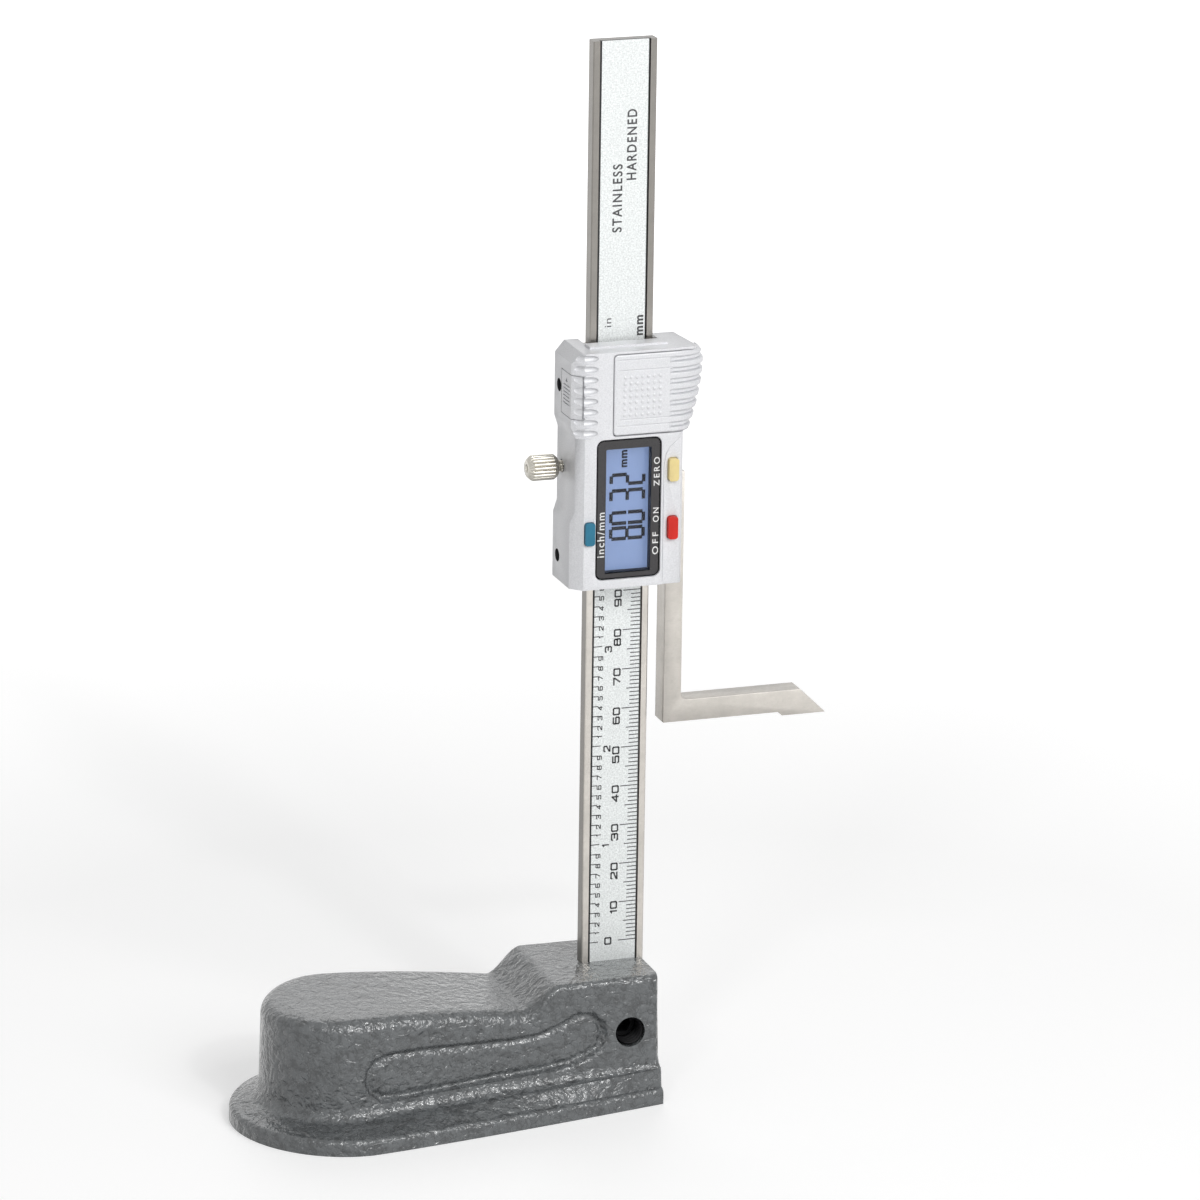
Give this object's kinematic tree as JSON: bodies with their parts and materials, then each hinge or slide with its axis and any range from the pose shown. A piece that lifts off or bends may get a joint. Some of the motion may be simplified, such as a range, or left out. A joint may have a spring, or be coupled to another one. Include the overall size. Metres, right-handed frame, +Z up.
{
  "type": "digital height gauge",
  "caption": "Digital height gauge: slider with display and stepped scriber arm on an upright flat beam, clamped in a long palm-shaped cast base.",
  "frame": {"origin": "on the plane of the sole, straight below the middle of the beam", "axes": "+X towards the scriber's point, +Y away from the scale's face, +Z up along the beam"},
  "size_m": [0.1517, 0.0563, 0.2635],
  "materials": {
    "casting_enamel": "semi-gloss hammered enamel",
    "black_steel": "black oxide",
    "stainless": "ground stainless",
    "board_green": "satin",
    "scale_film": "brushed film",
    "gib_brass": "satin",
    "ground_steel": "ground steel",
    "silver_plastic": "silver paint",
    "black_resin": "glossy",
    "pad_rubber": "matt",
    "window_plastic": "glossy",
    "dark_plastic": "matt",
    "lcd": "satin",
    "diffuser": "milky",
    "zebra_rubber": "matt",
    "cell_steel": "bright",
    "contact_gilt": "bright",
    "nickel": "nickel plate",
    "yellow_plastic": "semi-gloss",
    "red_plastic": "semi-gloss",
    "blue_plastic": "semi-gloss"
  },
  "bodies": {
    "stand": {"base_casting": "casting_enamel", "set_screw": "black_steel", "beam": "stainless", "sensor_strip": "board_green", "scale_label": "scale_film"},
    "slider": {"slider_frame": "stainless", "gib_strip": "gib_brass", "gib_screws": "black_steel", "scriber": "ground_steel", "scriber_screws": "black_steel", "front_shell": "silver_plastic", "shell_screws": "stainless", "circuit_board": "board_green", "measuring_chip": "black_resin", "button_pads": "pad_rubber", "display_window": "window_plastic", "lcd_frame": "dark_plastic", "lcd_panel": "lcd", "backlight": "diffuser", "zebra_strips": "zebra_rubber", "battery_cell": "cell_steel", "contact_minus": "contact_gilt", "contact_plus": "contact_gilt", "data_contacts": "contact_gilt"},
    "battery_cover": {"battery_cover": "silver_plastic"},
    "port_cover": {"port_cover": "silver_plastic"},
    "lock_screw": {"lock_screw": "nickel"},
    "zero_button": {"button_zero": "yellow_plastic"},
    "power_button": {"button_power": "red_plastic"},
    "unit_button": {"button_unit": "blue_plastic"}
  },
  "joints": [
    {"name": "slider_travel", "type": "slide", "parent": "stand", "child": "slider", "axis": [0, 0, 1], "range_m": [-0.092, 0.0578]},
    {"name": "lock_screw_turn", "type": "hinge", "parent": "slider", "child": "lock_screw", "pos_m": [-0.0155, 0, 0.15975], "axis": [1, 0, 0], "range_deg": [-720, 210]},
    {"name": "battery_cover_slide", "type": "slide", "parent": "slider", "child": "battery_cover", "axis": [1, 0, 0], "range_m": [0, 0.016]},
    {"name": "port_cover_pull", "type": "slide", "parent": "slider", "child": "port_cover", "axis": [-1, 0, 0], "range_m": [0, 0.006]},
    {"name": "zero_button_press", "type": "slide", "parent": "slider", "child": "zero_button", "axis": [0, 1, 0], "range_m": [0, 0.0005], "stiffness_N_per_m": 3000},
    {"name": "power_button_press", "type": "slide", "parent": "slider", "child": "power_button", "axis": [0, 1, 0], "range_m": [0, 0.0005], "stiffness_N_per_m": 3000},
    {"name": "unit_button_press", "type": "slide", "parent": "slider", "child": "unit_button", "axis": [0, 1, 0], "range_m": [0, 0.0005], "stiffness_N_per_m": 3000}
  ]
}
